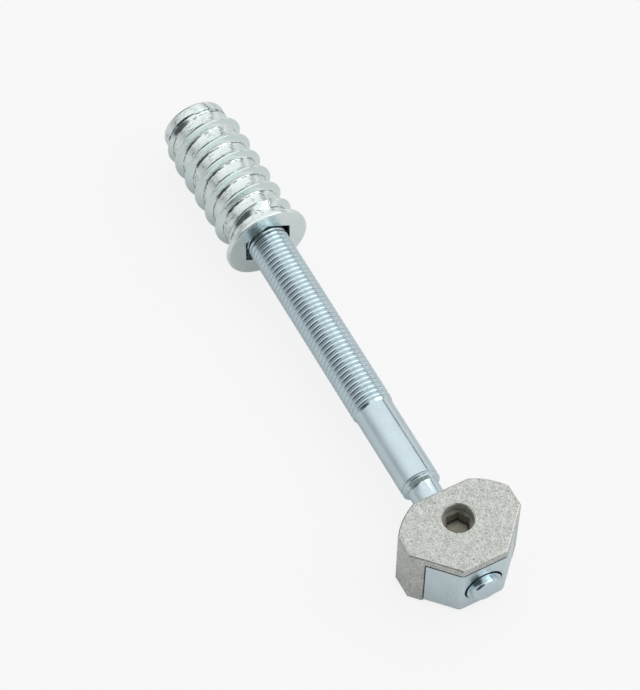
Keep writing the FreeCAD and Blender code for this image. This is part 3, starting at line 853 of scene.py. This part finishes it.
def coarse_thread(sizes, start, nose_start):
    """Closed bar with the coarse ridge, which rises after the flange and fades before the nose."""
    core = sizes.core_diameter / 2
    crest = sizes.crest_diameter / 2
    pitch = sizes.pitch
    half_crest = 0.2 * MM
    half_root = 0.78 * MM
    behind_flange = 3.2 * MM
    before_nose = 0.1 * MM
    slope = 0.75
    tuck = 0.5 * MM
    points = [
        (-pitch / 2, core),
        (-half_root - 0.55 * MM, core),
        (-half_root - 0.18 * MM, core + 0.06 * MM),
        (-half_root + 0.04 * MM, core + 0.22 * MM),
        (-half_crest - 0.09 * MM, crest - 0.20 * MM),
        (-half_crest, crest - 0.03 * MM),
        (-half_crest / 2, crest),
    ]
    points += [(-along, radius) for along, radius in reversed(points)]
    first = start + sizes.first_crest - 2 * pitch
    profile = [(first + along, radius) for along, radius in points]
    turns = math.ceil((nose_start - first) / pitch) + 1
    bar = spun(drawn_profile("coarse_insert", profile), sizes.steps, pitch, turns)
    bar.data.transform(Matrix.Rotation(sizes.first_turn, 4, "X"))

    def rise(along):
        opening = core + (along - start - behind_flange) * slope
        closing = core + (nose_start - before_nose - along) * slope
        return max(core, min(crest, opening, closing))

    limited_radius(bar, rise)
    return trimmed(bar, start + tuck, nose_start + tuck)


def insert_ends(sizes, start, end, flange):
    """Flange and plain nose with a bar between them, as one turned body."""
    below_core = 0.4
    bar = sizes.core_diameter / 2 / MM - below_core
    nose = 6.3
    low, high, rim = start / MM, end / MM, flange / MM
    points = [
        (low, 0, 0),
        (low, rim, 0.25),
        (low + FLANGE_THICKNESS, rim, 0.12),
        (low + FLANGE_THICKNESS, bar, 0),
        (high - NOSE_LENGTH, bar, 0),
        (high - NOSE_LENGTH, nose, 0.1),
        (high, nose, 0.45),
        (high, 0, 0),
    ]
    return spun(drawn_profile("insert_ends", rounded_profile(points)), sizes.steps)


def threaded_bore(start, end):
    """Cutter for the insert's inside thread, in step with the bolt's."""
    sizes = settings().bolt
    clearance, mouth, overrun = 0.05 * MM, 5.0 * MM, 1.0 * MM
    major = (BOLT_HIGH.y - BOLT_LOW.y) / 2 + clearance
    turns_in = round((start + mouth - sizes.thread_start) / sizes.pitch)
    first = sizes.thread_start + turns_in * sizes.pitch
    return threaded_length(
        "threaded_bore", first, end + overrun, major, sizes, lambda along: major)


def hex_recess(start):
    """Cutter for the hex socket at the insert's mouth, with a corner to each side."""
    across, depth, overrun = 9.2 * MM, 7.0 * MM, 1.0 * MM
    middle = start + depth / 2 - overrun / 2
    leave_all()
    bpy.ops.mesh.primitive_cylinder_add(
        vertices=6, radius=across / math.sqrt(3), depth=depth + overrun,
        location=BOLT_AXIS + Vector((middle, 0, 0)), rotation=(0, math.radians(90), 0))
    cutter = bpy.context.object
    bpy.ops.object.transform_apply(location=False, rotation=True, scale=True)
    cutter.data.transform(Matrix.Rotation(math.radians(30), 4, "X"))
    return cutter


# Stage

def bare_material(name):
    """Material whose tree holds only its output."""
    material = bpy.data.materials.new(name)
    material.use_nodes = True
    tree = material.node_tree
    tree.nodes.clear()
    return material, tree, add_node(tree, "ShaderNodeOutputMaterial")


def pale_floor(studio):
    """Matt floor that fades to the background in the picture, and a little in reflections."""
    material, tree, leave = bare_material("Pale floor")
    mixed = add_node(tree, "ShaderNodeMixShader")
    matt = add_node(tree, "ShaderNodeBsdfDiffuse", {"Color": (*studio.floor_colour, 1)})
    bright = add_node(tree, "ShaderNodeEmission",
                      {"Color": (*studio.background, 1), "Strength": 1.0})
    path = add_node(tree, "ShaderNodeLightPath")
    reflected = add_node(tree, "ShaderNodeMath", {1: FLOOR_SHARE_REFLECTED},
                         operation="MULTIPLY")
    share = add_node(tree, "ShaderNodeMath", {1: FLOOR_SHARE_SEEN}, operation="MULTIPLY_ADD")
    link = tree.links.new
    link(path.outputs["Is Glossy Ray"], reflected.inputs[0])
    link(path.outputs["Is Camera Ray"], share.inputs[0])
    link(reflected.outputs[0], share.inputs[2])
    link(share.outputs[0], mixed.inputs[0])
    link(matt.outputs[0], mixed.inputs[1])
    link(bright.outputs[0], mixed.inputs[2])
    link(mixed.outputs[0], leave.inputs[0])
    return material


def glowing(name, strength):
    """Material that only gives light."""
    material, tree, leave = bare_material(name)
    glow = add_node(tree, "ShaderNodeEmission", {"Strength": strength})
    tree.links.new(glow.outputs[0], leave.inputs[0])
    return material


def light_ramp(tree, value, stops):
    """Grey ramp over 0 to 1 from (place, brightness) stops."""
    node = add_node(tree, "ShaderNodeValToRGB")
    elements = node.color_ramp.elements
    while len(elements) < len(stops):
        elements.new(0.5)
    for element, (place, grey) in zip(elements, stops):
        element.position = place
        element.color = (grey, grey, grey, 1)
    tree.links.new(value, node.inputs["Fac"])
    return node.outputs["Color"]


def dark_room(tree, direction, sky, aim, edge):
    """Darkens the sky about one direction, where a room would be dark."""
    towards = add_node(tree, "ShaderNodeVectorMath", {1: Vector(aim).normalized()},
                       operation="DOT_PRODUCT")
    tree.links.new(direction, towards.inputs[0])
    near = ramp_mask(tree, towards.outputs["Value"], *edge)
    return tinted(tree, near, sky, DARK_ROOM_COLOUR)


def softbox_world(studio):
    """Soft light that the metal reflects, darker low down, behind a plain background."""
    world = bpy.context.scene.world or bpy.data.worlds.new("World")
    bpy.context.scene.world = world
    world.use_nodes = True
    tree = world.node_tree
    light = tree.nodes["Background"]
    light.inputs["Strength"].default_value = studio.dome
    place = add_node(tree, "ShaderNodeTexCoord")
    parts = add_node(tree, "ShaderNodeSeparateXYZ")
    tree.links.new(place.outputs["Generated"], parts.inputs["Vector"])
    key_side = light_ramp(tree, parts.outputs["Z"], KEY_SIDE_LIGHT)
    far_side = light_ramp(tree, parts.outputs["Z"], FAR_SIDE_LIGHT)
    across = add_node(tree, "ShaderNodeVectorMath", {1: FAR_SIDE}, operation="DOT_PRODUCT")
    tree.links.new(place.outputs["Generated"], across.inputs[0])
    sky = add_node(tree, "ShaderNodeMix", data_type="RGBA")
    side = ramp_mask(tree, across.outputs["Value"], *FAR_SIDE_EDGE)
    tree.links.new(side, sky.inputs["Factor"])
    tree.links.new(key_side, sky.inputs["A"])
    tree.links.new(far_side, sky.inputs["B"])
    dimmed = sky.outputs["Result"]
    for aim, edge in (DARK_CORNER, DARK_DOOR):
        dimmed = dark_room(tree, place.outputs["Generated"], dimmed, aim, edge)
    tree.links.new(dimmed, light.inputs["Color"])
    plain = add_node(tree, "ShaderNodeBackground",
                     {"Color": (*studio.background, 1), "Strength": HORIZON_MATCH})
    path = add_node(tree, "ShaderNodeLightPath")
    shown = add_node(tree, "ShaderNodeMixShader")
    tree.links.new(path.outputs["Is Camera Ray"], shown.inputs[0])
    tree.links.new(light.outputs[0], shown.inputs[1])
    tree.links.new(plain.outputs[0], shown.inputs[2])
    tree.links.new(shown.outputs[0], tree.nodes["World Output"].inputs["Surface"])


def aimed(piece, place, aim, roll=0.0):
    """Turns a lamp, a card or the camera from its place towards a point."""
    view = (Vector(aim) - Vector(place)).to_track_quat("-Z", "Y")
    piece.rotation_mode = "QUATERNION"
    piece.rotation_quaternion = view @ Quaternion((0, 0, 1), roll)


def add_lamp(name, place, aim, size, watts):
    """Soft rectangular lamp."""
    leave_all()
    bpy.ops.object.light_add(type="AREA", location=place)
    lamp = context_piece(name)
    lamp.data.shape = "RECTANGLE"
    lamp.data.size, lamp.data.size_y = size
    lamp.data.energy = watts
    aimed(lamp, place, aim)


def add_card(name, place, aim, size, strength):
    """Card outside the picture that the metal reflects."""
    leave_all()
    bpy.ops.mesh.primitive_plane_add(size=1, location=place)
    card = context_piece(name)
    card.scale = (*size, 1)
    aimed(card, place, aim)
    card.data.materials.append(glowing(name, strength))
    card.visible_camera = False
    card.visible_diffuse = False
    card.visible_shadow = False


class OBJECT_OT_add_stage(Operator):
    """Sets the floor, the light and the camera"""
    bl_idname = "joint_bolt.add_stage"
    bl_label = "Add the stage"

    def execute(self, context):
        studio = settings().studio
        self.add_floor(studio)
        self.add_light(studio)
        self.add_camera(studio)
        context.scene.view_settings.view_transform = "Standard"
        return {"FINISHED"}

    def add_floor(self, studio):
        """Tilts the floor so that the head's front edge and the insert's flange lie on it."""
        edge_inset, rim_inset = 1.3 * MM, 0.25 * MM
        front = Vector((HEAD_LOW.x + edge_inset, 0, 0))
        rim = Vector((INSERT_LOW.x + rim_inset, 0, INSERT_LOW.z))
        tilt = math.atan2(front.z - rim.z, rim.x - front.x)
        leave_all()
        bpy.ops.mesh.primitive_plane_add(size=4, location=front, rotation=(0, tilt, 0))
        floor = context_piece("floor")
        floor.data.materials.append(pale_floor(studio))

    def add_light(self, studio):
        """The dark card gives the insert its dark streaks."""
        add_lamp("key_lamp", place=(-0.10, -0.45, 0.55), aim=(0.045, 0, 0),
                 size=(0.45, 0.45), watts=studio.key_watts)
        add_card("dark_card", place=(0.233, 0.24, 0.112), aim=(0.087, 0, 0.007),
                 size=(0.028, 0.055), strength=0.08)
        softbox_world(studio)

    def add_camera(self, studio):
        leave_all()
        bpy.ops.object.camera_add(location=studio.camera_place)
        camera = context_piece("camera")
        camera.data.sensor_width = 36
        camera.data.lens = studio.lens
        camera.data.clip_start = 0.01
        aimed(camera, studio.camera_place, studio.camera_aim, studio.camera_roll)
        bpy.context.scene.camera = camera


class VIEW3D_PT_joint_bolt(Panel):
    """Buttons for each step, in the 3D view's sidebar"""
    bl_idname = "VIEW3D_PT_joint_bolt"
    bl_label = "Joint Bolt"
    bl_space_type = "VIEW_3D"
    bl_region_type = "UI"
    bl_category = "Joint Bolt"

    def draw(self, context):
        for step in STEPS:
            self.layout.operator(step.bl_idname)


STEPS = (
    OBJECT_OT_add_stage,
    OBJECT_OT_finish_head,
    OBJECT_OT_add_socket_floor,
    OBJECT_OT_add_bolt,
    OBJECT_OT_add_insert,
)
SETTINGS = (BoltSizes, InsertSizes, SocketSizes, FinishColours, StudioSettings, JointBoltSettings)
CLASSES = SETTINGS + STEPS + (VIEW3D_PT_joint_bolt,)


def register():
    for cls in CLASSES:
        bpy.utils.register_class(cls)
    bpy.types.Scene.joint_bolt = PointerProperty(type=JointBoltSettings)


def unregister():
    del bpy.types.Scene.joint_bolt
    for cls in reversed(CLASSES):
        bpy.utils.unregister_class(cls)


def main():
    register()
    bpy.ops.joint_bolt.add_stage()
    bpy.ops.joint_bolt.finish_head()
    bpy.ops.joint_bolt.add_socket_floor()
    bpy.ops.joint_bolt.add_bolt()
    bpy.ops.joint_bolt.add_insert()


if __name__ == "__main__":
    main()
